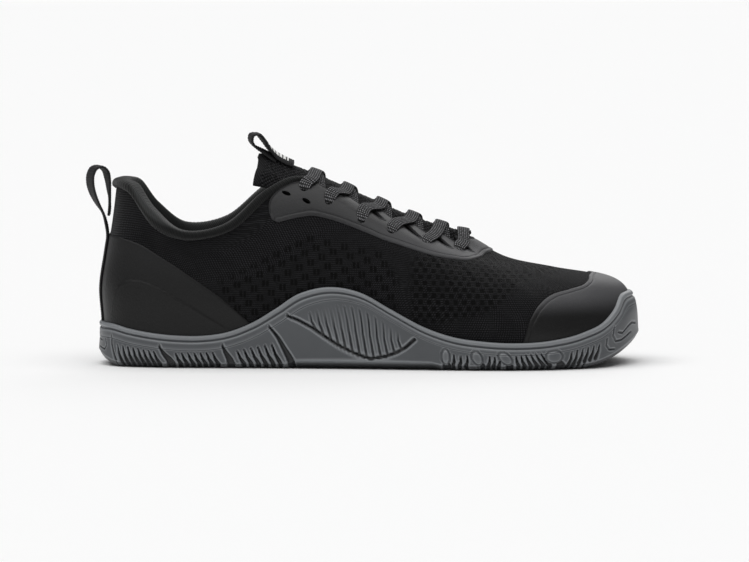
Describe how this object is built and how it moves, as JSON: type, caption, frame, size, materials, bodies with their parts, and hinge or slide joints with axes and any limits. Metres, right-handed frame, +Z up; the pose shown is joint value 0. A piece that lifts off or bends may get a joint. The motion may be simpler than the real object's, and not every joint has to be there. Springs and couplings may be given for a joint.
{
  "type": "barefoot shoe",
  "caption": "Low barefoot running shoe for the right foot, with a knitted upper, wavy cup sole, toe cap, heel counter, flat laces and pull loops",
  "frame": {"origin": "On the floor, under the middle of the shoe's bounding box", "axes": "+X from heel to toe, +Y toward the inner side of the foot, +Z up"},
  "size_m": [0.2865, 0.1039, 0.1192],
  "materials": {
    "sole_rubber": "matt moulded rubber",
    "insole_foam": "cloth-faced foam",
    "knit": "near-black engineered knit with holes",
    "film": "satin moulded film",
    "lining_knit": "ribbed knit lining",
    "tongue_knit": "coarse bumpy knit",
    "webbing": "woven tape",
    "lace_cord": "flat woven lace"
  },
  "bodies": {
    "root": {"outsole": "sole_rubber", "insole": "insole_foam", "upper": "knit", "toe_cap": "film", "heel_counter": "film", "eyestay": "film", "collar_cuff": "lining_knit", "tongue": "tongue_knit", "tongue_loop": "webbing", "heel_loop": "webbing", "lace_1": "lace_cord", "lace_2": "lace_cord", "lace_3": "lace_cord", "lace_4": "lace_cord", "lace_5": "lace_cord", "lace_bar": "lace_cord"}
  },
  "joints": []
}
